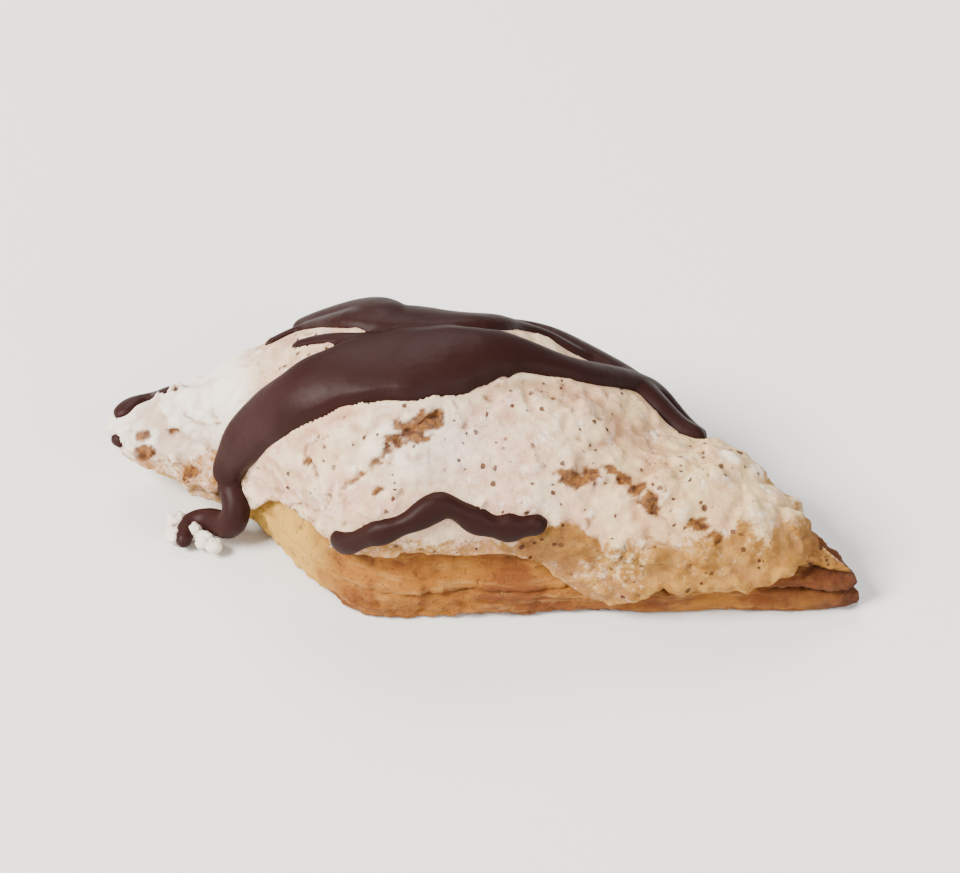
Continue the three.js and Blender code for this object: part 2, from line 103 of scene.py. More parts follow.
def copy_of_node(node, name):
    """A copy of a CAD node with its loose triangles merged."""
    pick_only(frame["nodes"][node])
    bpy.ops.object.duplicate()
    piece = bpy.context.object
    piece.name = name
    piece.data.name = name
    piece.parent = None
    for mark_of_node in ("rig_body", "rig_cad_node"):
        del piece[mark_of_node]
    piece.data.materials.clear()
    bpy.ops.object.mode_set(mode="EDIT")
    bpy.ops.mesh.select_all(action="SELECT")
    bpy.ops.mesh.remove_doubles(threshold=0.002 * MM)
    bpy.ops.object.mode_set(mode="OBJECT")
    return piece


def apply_modifier(piece, kind, **values):
    pick_only(piece)
    modifier = piece.modifiers.new(kind.lower(), kind)
    for key, value in values.items():
        setattr(modifier, key, value)
    bpy.ops.object.modifier_apply(modifier=modifier.name)


def grid_anew(piece, voxel, rounds):
    """Gives a closed piece an even grid of small faces, then evens out its steps."""
    apply_modifier(piece, "REMESH", mode="VOXEL", voxel_size=voxel, use_smooth_shade=True)
    apply_modifier(piece, "SMOOTH", factor=0.5, iterations=rounds)


def places_and_normals(piece):
    """Where the vertices are, in metres, and the way each faces."""
    count = len(piece.data.vertices)
    places, normals = np.zeros(count * 3), np.zeros(count * 3)
    piece.data.vertices.foreach_get("co", places)
    piece.data.vertices.foreach_get("normal", normals)
    return places.reshape(-1, 3), normals.reshape(-1, 3)


def move_along_normals(piece, heights):
    """Moves each vertex out by its height in mm."""
    places, normals = places_and_normals(piece)
    places += normals * (np.asarray(heights) * MM)[:, None]
    piece.data.vertices.foreach_set("co", places.ravel())
    piece.data.update()


def keep_on_surface(piece, name, values):
    """Stores one number for each vertex, for the piece's material to read."""
    store = piece.data.attributes.new(name, "FLOAT", "POINT")
    store.data.foreach_set("value", np.asarray(values, dtype=np.float32))


def smoothstep(value, low, high):
    """0 below `low`, 1 above `high`, and smooth between."""
    share = np.clip((value - low) / (high - low), 0, 1)
    return share * share * (3 - 2 * share)


def wave(place, size, seed):
    """Smooth noise from about -1 to 1 whose swells are `size` mm across."""
    return noise.noise(place / size + Vector((seed, 2.3 * seed, -seed)))


def grains(place, size, seed):
    """A place's distances from the middle of its grain and the next, in grains, and its grain's number."""
    moved = place / size + Vector((seed, seed, seed))
    near, middles = noise.voronoi(moved)
    return near[0], near[1], noise.cell(middles[0] * 7.13)


def seam_closed(p):
    """How far pressing closed the seam at a place in mm: whole but for the right tip."""
    raised = SEAM_RISE * float(smoothstep(-p.x, *SEAM_RISES))
    uneven = 0.7 * wave(Vector((p.x, p.y, 0)), 7, 7)
    closed = float(smoothstep(uneven - (p.x - SEAM_OPENS) / 14, -0.5, 0.5))
    return closed * (1 - float(smoothstep(abs(p.z - raised - SEAM_HEIGHT), *SEAM_REACH)))


def dough_relief(piece, seed, seam_side):
    """Roughens a sheet and closes its lip of the seam, which is above it, 1, or below, -1."""
    places, normals = places_and_normals(piece)
    heights = []
    for place, normal in zip(places, normals):
        p = Vector(place) / MM
        closed = seam_closed(p)
        upright = 1 - abs(normal[2])
        layered = Vector((p.x * 0.16, p.y * 0.16, p.z * 1.5))
        flake = noise.noise(layered + Vector((seed, 0, 0))) + 0.6 * noise.noise(layered * 2.1)
        near, _, _ = grains(p + 0.8 * noise.noise_vector(p), 1.5, seed)
        tear = max(0.0, 0.1 - abs(wave(Vector((p.x, p.y, 0.35 * p.z)), 5, seed + 5))) / 0.1
        edge = EDGE_SWELL * wave(p, 6, seed) + FLAKE_DEPTH * flake - TEAR_DEPTH * tear + SEAM_FILL * closed
        edge += EDGE_LUMP * wave(p, 1.3, seed + 9)
        crumb = 2 * CRUMB_DEPTH * (0.5 - near) + PORE_DEPTH * wave(p, 0.75, seed)
        faces_down = normal[2] < -0.8
        heights.append(0 if faces_down else upright * edge + crumb)
        place[2] += seam_side * SEAM_SHUT * closed * MM
    piece.data.vertices.foreach_set("co", places.ravel())
    move_along_normals(piece, heights)
    keep_on_surface(piece, "relief", heights)


bottom_sheet = copy_of_node("bottom_sheet", "dough_bottom_sheet")
filled_top = copy_of_node("filled_top", "dough_filled_top")
for sheet, seed, seam_side in ((bottom_sheet, 0, 1), (filled_top, 3.7, -1)):
    grid_anew(sheet, DOUGH_VOXEL, 4)
    dough_relief(sheet, seed, seam_side)


class Nodes:
    """A node tree, with short ways to add and join its nodes."""

    def __init__(self, tree):
        self.tree = tree

    def add(self, kind, inputs=None, **values):
        node = self.tree.nodes.new(kind)
        for key, value in values.items():
            setattr(node, key, value)
        for key, value in (inputs or {}).items():
            self.put(node.inputs[key], value)
        return node

    def put(self, socket, value):
        if isinstance(value, bpy.types.NodeSocket):
            self.tree.links.new(value, socket)
        else:
            socket.default_value = value

    def noise(self, where, scale, detail, rough):
        inputs = {"Vector": where, "Scale": scale, "Detail": detail, "Roughness": rough}
        return self.add("ShaderNodeTexNoise", inputs).outputs["Fac"]

    def patches(self, where, scale, detail, rough, low, high):
        """Places the group of uneven patches: none where its noise is under `low`, whole over `high`."""
        inputs = {"Place": where, "Scale": scale, "Detail": detail, "Roughness": rough}
        inputs |= {"Low": low, "High": high}
        return self.add("ShaderNodeGroup", inputs, node_tree=UNEVEN_PATCHES).outputs["Patches"]

    def grain(self, where, scale, detail, rough, depth):
        """Places the group of fine grain, whose depth is in metres."""
        inputs = {"Place": where, "Scale": scale, "Detail": detail, "Roughness": rough, "Depth": depth}
        return self.add("ShaderNodeGroup", inputs, node_tree=FINE_GRAIN).outputs["Normal"]

    def ramp(self, value, low, high):
        """0 below `low`, 1 above `high`, smooth between; `low` may be the higher."""
        inputs = {"Value": value, "From Min": low, "From Max": high}
        if low > high:
            inputs = {"Value": value, "From Min": high, "From Max": low, "To Min": 1.0, "To Max": 0.0}
        node = self.add("ShaderNodeMapRange", inputs, interpolation_type="SMOOTHSTEP")
        return node.outputs["Result"]

    def maths(self, operation, *values):
        node = self.add("ShaderNodeMath", operation=operation)
        for socket, value in zip(node.inputs, values):
            self.put(socket, value)
        return node.outputs[0]

    def times(self, one, other):
        return self.maths("MULTIPLY", one, other)

    def mix(self, share, under, over):
        """Lays the colour `over` on the colour `under` by its share."""
        node = self.add("ShaderNodeMix", data_type="RGBA")
        self.put(node.inputs[0], share)
        self.put(node.inputs[6], under)
        self.put(node.inputs[7], over)
        return node.outputs[2]

    def bump(self, height, depth, under=None):
        inputs = {"Height": height, "Strength": 1.0, "Distance": depth}
        if under is not None:
            inputs["Normal"] = under
        return self.add("ShaderNodeBump", inputs).outputs["Normal"]


def new_group(name, numbers, output, kind):
    """A node group that takes a place and numbers, with its nodes, what it is given and what it gives."""
    group = bpy.data.node_groups.new(name, "ShaderNodeTree")
    group.interface.new_socket("Place", in_out="INPUT", socket_type="NodeSocketVector")
    for number in numbers:
        group.interface.new_socket(number, in_out="INPUT", socket_type="NodeSocketFloat")
    group.interface.new_socket(output, in_out="OUTPUT", socket_type=kind)
    n = Nodes(group)
    return group, n, n.add("NodeGroupInput").outputs, n.add("NodeGroupOutput").inputs


def noise_given(n, given):
    """The noise of a group, from what the group is given."""
    return n.noise(given["Place"], given["Scale"], given["Detail"], given["Roughness"])


def uneven_patches():
    """Patches with soft edges, as baking and drying leave them on dough, icing and chocolate."""
    numbers = ("Scale", "Detail", "Roughness", "Low", "High")
    group, n, given, gives = new_group("uneven_patches", numbers, "Patches", "NodeSocketFloat")
    inputs = {"Value": noise_given(n, given), "From Min": given["Low"], "From Max": given["High"]}
    ramp = n.add("ShaderNodeMapRange", inputs, interpolation_type="SMOOTHSTEP")
    n.put(gives["Patches"], ramp.outputs["Result"])
    return group


def fine_grain():
    """The grain of a surface, too fine for its mesh."""
    numbers = ("Scale", "Detail", "Roughness", "Depth")
    group, n, given, gives = new_group("fine_grain", numbers, "Normal", "NodeSocketVector")
    n.put(gives["Normal"], n.bump(noise_given(n, given), given["Depth"]))
    return group


UNEVEN_PATCHES = uneven_patches()
FINE_GRAIN = fine_grain()


def new_material(name):
    """A material, its nodes and its shader."""
    material = bpy.data.materials.new(name)
    material.use_nodes = True
    return material, Nodes(material.node_tree), material.node_tree.nodes["Principled BSDF"]


def colour(red, green, blue):
    """A colour as seen on a screen, 0 to 255, as the linear one that a shader takes."""
    linear = [((c / 255 + 0.055) / 1.055) ** 2.4 if c > 10 else c / 255 / 12.92 for c in (red, green, blue)]
    return (*linear, 1.0)


def baked_dough():
    gold, deep, pale = colour(186, 118, 38), colour(140, 76, 20), colour(250, 196, 90)
    dark_layer, light_layer = colour(112, 56, 16), colour(222, 168, 92)
    tip_brown_and_shadow, painted_hollow_shade, speck_brown = colour(92, 42, 14), colour(104, 52, 16), colour(92, 42, 12)
    material, n, shader = new_material("baked_dough")
    where = n.add("ShaderNodeTexCoord").outputs["Object"]
    along = n.add("ShaderNodeSeparateXYZ", {"Vector": where}).outputs["X"]
    relief = n.add("ShaderNodeAttribute", attribute_name="relief").outputs["Fac"]
    layers = n.add("ShaderNodeMapping", {"Vector": where, "Scale": (0.4, 0.4, 2.4)}).outputs["Vector"]
    tone = n.mix(n.patches(where, 180, 4, 0.6, 0.4, 0.62), gold, deep)
    tone = n.mix(n.times(n.patches(layers, 420, 4, 0.65, 0.5, 0.68), 0.55), tone, dark_layer)
    tone = n.mix(n.times(n.patches(layers, 360, 3, 0.6, 0.52, 0.7), 0.45), tone, light_layer)
    # Paler towards the left end.
    left_end = n.ramp(along, -0.0135, -0.019)
    paled_left_end = n.times(left_end, n.patches(where, 240, 3, 0.5, 0.25, 0.5))
    tone = n.mix(n.times(paled_left_end, 0.9), tone, pale)
    # Browner at the thin right tip: partly the browning of thin dough, partly painted shadow.
    uneven = n.times(n.noise(where, 300, 3, 0.5), 0.006)
    tip_browning_and_shadow = n.ramp(n.maths("ADD", along, uneven), 0.031, 0.041)
    tone = n.mix(n.times(tip_browning_and_shadow, 0.85), tone, tip_brown_and_shadow)
    # Painted shade: darker brown in the hollows of the relief, where shade falls.
    tone = n.mix(n.times(n.ramp(relief, -0.1, -0.55), 0.5), tone, painted_hollow_shade)
    specks = n.patches(where, 1300, 3, 0.7, 0.59, 0.68)
    tone = n.mix(n.times(specks, 0.6), tone, speck_brown)
    n.put(shader.inputs["Base Color"], tone)
    shader.inputs["Roughness"].default_value = 0.74
    shader.inputs["Specular IOR Level"].default_value = 0.3
    n.put(shader.inputs["Normal"], n.grain(where, 1700, 6, 0.8, 0.0009))
    return material


dough_material = baked_dough()
for node, sheet in (("bottom_sheet", bottom_sheet), ("filled_top", filled_top)):
    sheet.data.materials.append(dough_material)
    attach(sheet, "root")
    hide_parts(node)

# ---- The icing, as it is spread --------------------------------------------------
# Egg white, sugar and chopped almond, spread over the roll before it is cut and baked.
# It lies on the dough as one coat, thin at its ragged rim and thick on the crown.

ICING_THICK = {"rim": 0.95 * MM, "crown": 1.75 * MM}
RIM_WIDTH = 5 * MM  # over which the icing gets to its full thickness
SKIN_REACH = 1.4 * MM  # the dough is nearer than this to the side of the icing that lies on it
COAT_VOXEL = 0.8 * MM  # of the plain coat, without its crags, that the drizzle lies on

dough_solids = bmesh.new()
for node in ("bottom_sheet", "filled_top"):
    dough_solids.from_mesh(frame["nodes"][node].data)
dough_tree = BVHTree.FromBMesh(dough_solids)
dough_solids.free()


def keep_skin_over_dough(piece):
    """Keeps the side of the icing's solid that faces the dough, turned to face out."""
    skin = bmesh.new()
    skin.from_mesh(piece.data)
    hits = {f: dough_tree.ray_cast(f.calc_center_median(), f.normal, SKIN_REACH)[0] for f in skin.faces}
    bmesh.ops.delete(skin, geom=[f for f, hit in hits.items() if hit is None], context="FACES")
    unseen = set(skin.faces)
    islands = []
    while unseen:
        island, edge = set(), [unseen.pop()]
        while edge:
            face = edge.pop()
            island.add(face)
            for other in {f for e in face.edges for f in e.link_faces} & unseen:
                unseen.discard(other)
                edge.append(other)
        islands.append(island)
    largest = max(islands, key=len)
    bmesh.ops.delete(skin, geom=[f for f in skin.faces if f not in largest], context="FACES")
    bmesh.ops.reverse_faces(skin, faces=skin.faces)
    skin.to_mesh(piece.data)
    skin.free()


icing = copy_of_node("icing", "icing_crust")
keep_skin_over_dough(icing)
skin_tree = BVHTree.FromObject(icing, bpy.context.evaluated_depsgraph_get())


def depth_over_skin(place):
    """How far in metres a place is out from the skin that lies on the dough."""
    nearest, normal, _, _ = skin_tree.find_nearest(place)
    return (Vector(place) - nearest).dot(normal)


def thicken_skin(piece):
    """Grows the skin outwards to its thickness, and gives back a tree of its rim."""
    skin = bmesh.new()
    skin.from_mesh(piece.data)
    bmesh.ops.subdivide_edges(skin, edges=skin.edges, cuts=1, use_grid_fill=True)
    rim = [v.co.copy() for v in skin.verts if v.is_boundary]
    tree = KDTree(len(rim))
    for i, place in enumerate(rim):
        tree.insert(place, i)
    tree.balance()
    weights = [float(smoothstep(tree.find(v.co)[2], 0, RIM_WIDTH)) for v in skin.verts]
    skin.to_mesh(piece.data)
    skin.free()
    group = piece.vertex_groups.new(name="crown")
    for i, weight in enumerate(weights):
        group.add([i], weight, "REPLACE")
    thick = ICING_THICK["crown"]
    apply_modifier(
        piece,
        "SOLIDIFY",
        thickness=thick,
        offset=1,
        vertex_group="crown",
        thickness_vertex_group=ICING_THICK["rim"] / thick,
        use_even_offset=False,
    )
    return tree


rim_tree = thicken_skin(icing)
pick_only(icing)
bpy.ops.object.duplicate()
plain_coat = bpy.context.object
grid_anew(plain_coat, COAT_VOXEL, 8)
coat_tree = BVHTree.FromObject(plain_coat, bpy.context.evaluated_depsgraph_get())
bpy.data.objects.remove(plain_coat)

# ---- The drizzle -----------------------------------------------------------------
# Dark chocolate, melted and poured over the baked icing in thick and thin lines. It has
# set with round edges and a satin face, and from its foot a drip curls over the table.

DRIZZLE_VOXEL = 0.21 * MM
DRIZZLE_STEP = 0.7  # mm from section to section of a line
DRIZZLE_SINK = 0.5 * MM  # how deep a line's foot lies in the icing
PROBE_OVER = 3  # mm over the coat, from where it is felt for
PROBE_LONG = 7 * MM  # how deep
ACROSS = 11  # points across a line
DRIP_SIDES = 16  # points round the drip
FULL_WIDTH = 2.4  # mm: a narrower line is lower than the thickness it is given
TILT = math.radians(42)  # how far down the cookie is seen from
EYE_AWAY = 100 * MM
# Each line is laid as seen from the front or the back at that tilt: the side it is seen
# from, its thickness in mm, and its stations, which are mm along the cookie, mm up from
# the foot of the near side, and the line's width.
LINES = {
    "low_pour": ("front", 1.25, (
        (-27, 13.9, 2.7), (-26.3, 15.9, 3.5), (-25, 18.2, 4.4), (-23, 20.5, 5), (-20.2, 22.6, 5.5),
        (-16.5, 24.7, 6.2), (-11.9, 26, 6.8), (-6.8, 26.9, 7), (-2.3, 27.4, 6.5), (1.7, 27.6, 4.2),
        (4.5, 26.9, 2.6), (9.1, 25.5, 2.2), (13.6, 24.8, 2), (17.6, 23.5, 1.8), (20.6, 21.8, 1.4),
        (22.4, 20.4, 0.9),
    )),
    "high_pour": ("front", 0.9, (
        (-22.7, 28.3, 0.7), (-19.9, 29.7, 0.9), (-17.1, 30.5, 1.4), (-13.6, 30.9, 2.5), (-9.1, 31, 3.6),
        (-4.6, 30.8, 3.9), (0, 30.5, 2.8), (3.4, 30.3, 1.5), (6.2, 29.3, 1.3), (9.6, 27.4, 1.2),
        (13.6, 26, 1.2), (17, 24.7, 1),
    )),
    "strand": ("front", 0.7, (
        (-19.9, 28.2, 0.8), (-17.1, 28.9, 0.9), (-14.2, 28.8, 1.3), (-10.8, 28.6, 1.8),
    )),
    "squiggle": ("front", 1.15, (
        (-15.8, 7.2, 1.3), (-14, 8, 2.2), (-12.2, 9, 2), (-10.6, 9.3, 2.7), (-8.6, 10, 2),
        (-6.6, 10.9, 2.8), (-4.6, 12.2, 3), (-3, 11.6, 2.1), (-1.2, 10.4, 2.9), (0.6, 9.9, 2.2),
        (2.4, 9.6, 3.1), (3.8, 10, 2), (5, 10, 2.3), (6.2, 10.4, 1.4),
    )),
    "tip_line": ("front", 0.8, (
        (-31.6, 26, 0.8), (-33.2, 25, 1.5), (-34.8, 24, 0.9), (-36.6, 22.6, 1.5), (-38, 20.8, 1.2),
    )),
    "tip_drop": ("front", 0.8, ((-38, 19.2, 1.1), (-37.9, 17.9, 1.4))),
    "back_band": ("back", 1.2, ((-9, 26.5, 6.5), (-12, 21.5, 5.2), (-16.5, 17, 4.2), (-19.5, 13.5, 3))),
    "back_stripe": ("back", 1, (
        (-2, 12, 2.3), (4, 14, 3.4), (11, 17, 4.2), (17, 19, 3.2), (22.3, 20.6, 2.2),
    )),
    "back_strand": ("back", 0.8, ((-12, 10, 1.5), (-4, 10, 1.6), (4, 9.5, 1.7), (12, 11, 1.5))),
}
# The drip's stations: its place in mm, and its thickness.
DRIP = (
    (-26.7, -1.1, 7.2, 2.7), (-25.6, -4, 4.8, 3), (-26.4, -4.6, 2.9, 3), (-28.5, -2.8, 2, 2.5),
    (-30.5, -3, 1.5, 2.2), (-31.2, -6.1, 1.2, 1.6),
)
# The solids were centred on their box, so the lines' places move with them.
low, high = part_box("bottom_sheet")
SHIFT = Vector(((low.x + high.x) / 2, (low.y + high.y) / 2, 0))
HALF_DEPTH = 16.25 * MM  # of the sheets


def smooth_line(stations, step, axes):
    """Points evenly spaced along a Catmull-Rom curve; the first columns are its place."""
    points = np.array(stations, dtype=float)
    points = np.vstack([2 * points[0] - points[1], points, 2 * points[-1] - points[-2]])
    fine = []
    for a, b, c, d in zip(points, points[1:], points[2:], points[3:]):
        for t in np.linspace(0, 1, 24, endpoint=False):
            bend = (2 * a - 5 * b + 4 * c - d) * t**2 + (3 * b - a - 3 * c + d) * t**3
            fine.append(0.5 * (2 * b + (c - a) * t + bend))
    fine = np.array([*fine, points[-2]])
    gaps = np.linalg.norm(np.diff(fine[:, :axes], axis=0), axis=1)
    along = np.concatenate([[0], np.cumsum(gaps)])
    spots = np.linspace(0, along[-1], max(4, round(along[-1] / step)) + 1)
    return np.stack([np.interp(spots, along, column) for column in fine.T], axis=1)


def even_out(rows, rounds):
    """Draws each row towards its neighbours, but for the first and the last."""
    for _ in range(rounds):
        rows[1:-1] = (rows[:-2] + 2 * rows[1:-1] + rows[2:]) / 4
    return rows


def eye_of(side):
    """Which way along y a side faces, and the way to the eye that sees it at the tilt."""
    facing = -1 if side == "front" else 1
    return facing, Vector((0, facing * math.cos(TILT), math.sin(TILT)))


def on_coat(x, up, side):
    """The point of the plain coat seen at or nearest to a place of the view, and its normal."""
    facing, to_eye = eye_of(side)
    upright = Vector((0, -facing * math.sin(TILT), math.cos(TILT)))
    foot = Vector((x * MM, facing * HALF_DEPTH, 0)) + SHIFT
    for off in sorted(np.arange(-20, 20, 0.15), key=abs):
        start = foot + upright * (up - off) * MM + to_eye * EYE_AWAY
        hit, normal, _, _ = coat_tree.ray_cast(start, -to_eye)
        if hit:
            return hit, normal
    raise RuntimeError(f"no icing under the drizzle at {x}, {up}")


def join_rings(body, rings):
    """Faces between each ring of points and the next, and one over each end."""
    for ring, after in zip(rings, rings[1:]):
        for i, here in enumerate(ring):
            j = (i + 1) % len(ring)
            body.faces.new((here, ring[j], after[j], after[i]))
    body.faces.new(list(reversed(rings[0])))
    body.faces.new(rings[-1])


def end_rounding(k, count, width):
    """From 0.25 at a line's two ends to 1 where it has its whole width."""
    to_end = min(1, min(k, count - 1 - k) * DRIZZLE_STEP / (width / 2))
    return max(0.25, math.sqrt(1 - (1 - to_end) ** 2))


def pour_line(body, side, thick, stations):
    """Lays a line on the coat: flat below, where it follows the coat, and round above."""
    spots = smooth_line(stations, DRIZZLE_STEP, 2)
    hits = [on_coat(x, up, side) for x, up, _ in spots]
    middles = even_out(np.array([hit for hit, _ in hits]), 4)
    facings = even_out(np.array([normal for _, normal in hits]), 12)
    ways = np.gradient(middles, axis=0)
    _, to_eye = eye_of(side)
    rings = []
    for k, (middle, facing, way) in enumerate(zip(middles, facings, ways)):
        middle, facing, way = Vector(middle), Vector(facing).normalized(), Vector(way).normalized()
        across = way.cross(facing).normalized()
        seen_way = (way - way.dot(to_eye) * to_eye).normalized()
        seen_share = max(0.6, abs(across.dot(to_eye.cross(seen_way))))
        width = spots[k][2]
        rounding = end_rounding(k, len(spots), width)
        uneven = 1 + 0.08 * noise.noise(Vector((k * 0.22, width, 7 * thick)))
        half = width / 2 * rounding * uneven / seen_share * MM
        crown = thick * min(1, width / FULL_WIDTH) ** 0.8 * rounding
        backs, feet = [], []
        for share in np.linspace(-1, 1, ACROSS):
            over = middle + across * share * half
            hit, normal, _, _ = coat_tree.ray_cast(over + facing * PROBE_OVER * MM, -facing, PROBE_LONG)
            base = hit or over
            out = (facing + normal).normalized() if hit else facing
            height = crown * (1 - abs(share) ** 2.4) ** 0.5
            backs.append(body.verts.new(base + out * height * MM))
            feet.append(body.verts.new(base - out * DRIZZLE_SINK))
        rings.append([*backs, *reversed(feet)])
    join_rings(body, rings)


def hang_drip(body):
    """The drip as a round tube, its sections turned as little as can be."""
    spots = smooth_line(DRIP, DRIZZLE_STEP, 3)
    ways = np.gradient(spots[:, :3], axis=0)
    side = Vector((1, 0, 0))
    rings = []
    for k, (spot, way) in enumerate(zip(spots, ways)):
        way = Vector(way).normalized()
        side = (side - side.dot(way) * way).normalized()
        radius = spot[3] / 2 * end_rounding(k, len(spots), spot[3])
        middle = Vector(spot[:3]) * MM + SHIFT
        other = way.cross(side)
        turns = np.linspace(0, 2 * math.pi, DRIP_SIDES, endpoint=False)
        outs = [side * math.cos(turn) + other * math.sin(turn) for turn in turns]
        rings.append([body.verts.new(middle + out * radius * MM) for out in outs])
    join_rings(body, rings)


def pour_drizzle():
    """All lines and the drip, which the new grid then makes one body."""
    body = bmesh.new()
    for side, thick, stations in LINES.values():
        pour_line(body, side, thick, stations)
    hang_drip(body)
    bmesh.ops.recalc_face_normals(body, faces=body.faces)
    mesh = bpy.data.meshes.new("chocolate_drizzle")
    body.to_mesh(mesh)
    body.free()
    piece = bpy.data.objects.new("chocolate_drizzle", mesh)
    bpy.context.scene.collection.objects.link(piece)
    return piece


drizzle = pour_drizzle()
grid_anew(drizzle, DRIZZLE_VOXEL, 8)
drizzle_tree = BVHTree.FromObject(drizzle, bpy.context.evaluated_depsgraph_get())


def set_chocolate():
    dark, painted_sheen_brown = colour(35, 15, 12), colour(45, 23, 22)
    material, n, shader = new_material("set_chocolate")
    where = n.add("ShaderNodeTexCoord").outputs["Object"]
    along = n.add("ShaderNodeSeparateXYZ", {"Vector": where}).outputs["X"]
    # Painted sheen: lighter in patches towards the left, where the key light falls.
    left_sheen = n.times(n.patches(where, 200, 3, 0.6, 0.3, 0.75), n.ramp(along, -0.006, -0.026))
    n.put(shader.inputs["Base Color"], n.mix(left_sheen, dark, painted_sheen_brown))
    uneven = n.noise(where, 350, 3, 0.5)
    satin = n.add("ShaderNodeMapRange", {"Value": uneven, "To Min": 0.42, "To Max": 0.56})
    n.put(shader.inputs["Roughness"], satin.outputs["Result"])
    shader.inputs["Specular IOR Level"].default_value = 0.09
    n.put(shader.inputs["Normal"], n.grain(where, 500, 3, 0.5, 0.0001))
    return material


drizzle.data.materials.append(set_chocolate())
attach(drizzle, "root")
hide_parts("icing")

# ---- The icing, as it is baked ---------------------------------------------------
# Baking turns the coat into a dry crust of crags, pinholes and fine cracks over the
# chopped almond, white where it stands out and golden where it is thin; painted shade
# darkens its hollows, and in part its right tip. It is level under the drizzle, and
# crumbs that broke off are stuck to the drip.

ICING_VOXEL = 0.29 * MM
INNER_SIDE = 0.1 * MM  # nearer to the skin than this is the coat's side on the dough
RIM_MARKED = 1.2 * MM  # the inner side is coloured this far in from the rim
BACK_FACES = 0.35  # where the normal's y is over this, a place belongs to the back
UNDER_DRIZZLE = -0.1  # mm, how low the crust is under the drizzle
SUNK = 0.3  # mm under the coat's own place, for what would stand through the drizzle
NUBS = 340  # chips of almond that stand out
NUB_SIZE = (0.35, 1.25)  # mm
# How deep the crust's kinds of relief are, in mm: `level` brings their mean back to none.
RELIEF = {"swell": 0.36, "crag": 0.58, "facet": 0.3, "crumb": 0.14, "grit": 0.08, "level": 0.36}
HOLLOWS = {"pit": 0.36, "crack": 0.34, "toast": 0.12}  # mm deep
NEAR_FOOT = -16.3  # mm, where the front of the cookie stands
# Where the crust shows more than its own white, as seen from the front at the tilt:
# mm along the cookie, mm up from its foot, and how far the spot reaches.
TOASTED = (
    (8.5, 15.1, 1.1), (9.8, 14.7, 1.2), (11.2, 15.3, 0.9), (13.2, 15.9, 0.7), (14.8, 14.9, 0.8),
    (16, 13.9, 0.9), (16.9, 12.6, 1), (17.4, 11.6, 0.7), (22.1, 10.3, 0.9), (23.9, 8.9, 0.7),
    (-10.3, 13.6, 0.6), (-34.4, 17.2, 1), (-34.6, 19, 0.7), (-29.8, 15.4, 0.9), (-31.5, 19.5, 0.6),
    (-17.5, 16.5, 0.5), (-5.2, 20.7, 1.5), (-6.8, 19.8, 1.6), (-8.2, 18.7, 1.1),
)
CRACK = ((-4.4, 21.6), (-6, 20.4), (-8.3, 18.9), (-9.8, 17.4), (-11.9, 15.2), (-13.6, 13.9))
# Where the icing ran over the dough's edge and set in a lump: mm, and its radius.
WELTS = (
    (-28.4, -1.1, 6.4, 1.4), (-29.7, -0.6, 5.7, 1.25), (-27.3, -1.6, 6.2, 1.4), (12.4, -15.8, 4.8, 1.3),
    (30.9, -14.3, 6.2, 1.3), (31.8, -13.3, 6.5, 1.3), (32.9, -13.1, 6.1, 1.1),
)
DRIP_CRUMBS = (
    (-31.8, -2.5, 1.5, 1.15), (-32.1, -4.4, 1.3, 0.95), (-29.9, -3.8, 1.4, 1.05), (-28.9, -5.3, 1.4, 1.05),
    (-27.9, -6, 1.3, 0.95),
)


def under_drizzle(place, normal):
    """Whether a place of the coat, seen along its normal, lies inside the drizzle."""
    hit, face, _, _ = drizzle_tree.ray_cast(place, normal, 3 * MM)
    return hit is not None and face.dot(normal) > 0


def beside_drizzle(place):
    """How much of the crust's relief is left near the drizzle, which filled the hollows."""
    _, _, _, away = drizzle_tree.find_nearest(place, 1.2 * MM)
    return 1 if away is None else float(smoothstep(away, 0.1 * MM, 1.1 * MM))


def highest_by_drizzle(place, normal):
    """How high in mm the crust may stand, so that it stays under the drizzle laid on it."""
    if under_drizzle(place, normal):
        return UNDER_DRIZZLE
    hit, face, _, stands_out = drizzle_tree.ray_cast(place, -normal, 1.3 * MM)
    if hit is not None and face.dot(normal) > 0.3:
        return -SUNK - stands_out / MM
    return math.inf


def add_nubs(piece):
    """Sets chopped almond into the icing's outer side, before all is made one body."""
    draw = np.random.default_rng(11)
    body = bmesh.new()
    body.from_mesh(piece.data)
    outer = [f for f in body.faces if depth_over_skin(f.calc_center_median()) > 0.8 * MM]
    for x, y, z, radius in WELTS:
        ball = Matrix.Translation(Vector((x, y, z)) * MM) @ Matrix.Scale(radius * MM, 4)
        bmesh.ops.create_icosphere(body, subdivisions=2, radius=1, matrix=ball)
    shares = np.array([f.calc_area() for f in outer])
    chosen = draw.choice(len(outer), NUBS, p=shares / shares.sum())
    seats = [(outer[i].calc_center_median(), outer[i].normal.copy()) for i in chosen]
    for seat, normal in seats:
        size = NUB_SIZE[0] + (NUB_SIZE[1] - NUB_SIZE[0]) * draw.random() ** 2
        upright = normal.to_track_quat("Z", "Y").to_matrix().to_4x4()
        turn = Matrix.Rotation(draw.random() * 6.3, 4, normal) @ upright
        shape = Matrix.Diagonal((*(size * MM * draw.uniform((0.8, 0.6, 0.4), (1.6, 1.1, 0.7))), 1))
        jolts = draw.uniform(-0.25, 0.25, (12, 3)) * size * MM
        if under_drizzle(seat, normal):
            continue
        place = Matrix.Translation(seat)
        made = bmesh.ops.create_icosphere(body, subdivisions=1, radius=1, matrix=place @ turn @ shape)
        for vertex, jolt in zip(made["verts"], jolts):
            vertex.co += Vector(jolt)
    body.to_mesh(piece.data)
    body.free()


def seen_from_front(p):
    """Where a place in mm is in the tilted view: x, and how far up from the near foot."""
    return p.x, (p.y - NEAR_FOOT) * math.sin(TILT) + p.z * math.cos(TILT)


